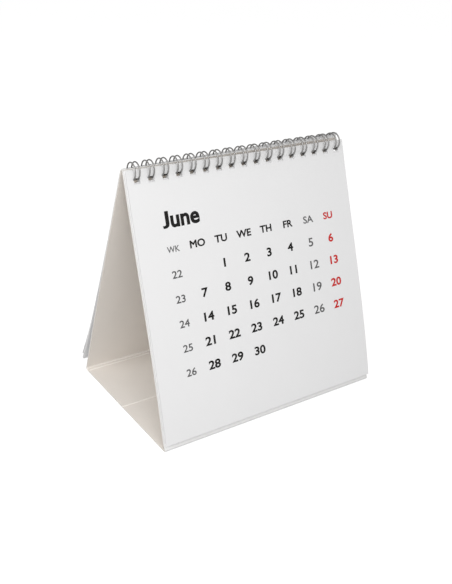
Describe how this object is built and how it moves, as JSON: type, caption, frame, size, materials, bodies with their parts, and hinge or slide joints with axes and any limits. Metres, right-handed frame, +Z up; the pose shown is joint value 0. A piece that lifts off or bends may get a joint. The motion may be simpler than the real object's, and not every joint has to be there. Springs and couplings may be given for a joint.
{
  "type": "desk calendar",
  "caption": "Tent-shaped desk calendar: a folded card stand, square leaves hung in front and behind, and a closed twin-loop wire along the ridge.",
  "frame": {"origin": "middle of the base of the stand, on the surface that it rests on", "axes": "+X along the ridge and the wire, to the right for a reader; -Y towards the reader; +Z up"},
  "size_m": [0.148, 0.1037, 0.1476],
  "materials": {
    "card": "smooth white coated board, matt",
    "paper": "matt uncoated paper",
    "printed_paper": "matt paper with plain printed figures",
    "wire": "nylon-coated steel wire, silver grey, satin"
  },
  "bodies": {
    "frame": {"stand": "card", "wire_binding": "wire", "front_pages": "paper", "rear_pages": "paper"},
    "front_leaf": {"front_leaf": "printed_paper"},
    "rear_leaf": {"rear_leaf": "paper"}
  },
  "joints": [
    {"name": "front_leaf_turn", "type": "hinge", "parent": "frame", "child": "front_leaf", "pos_m": [0, -0.00181, 0.14192], "axis": [-1, 0, 0], "range_deg": [0, 165]},
    {"name": "rear_leaf_turn", "type": "hinge", "parent": "frame", "child": "rear_leaf", "pos_m": [0, -0.00181, 0.14192], "axis": [1, 0, 0], "range_deg": [0, 165]}
  ]
}
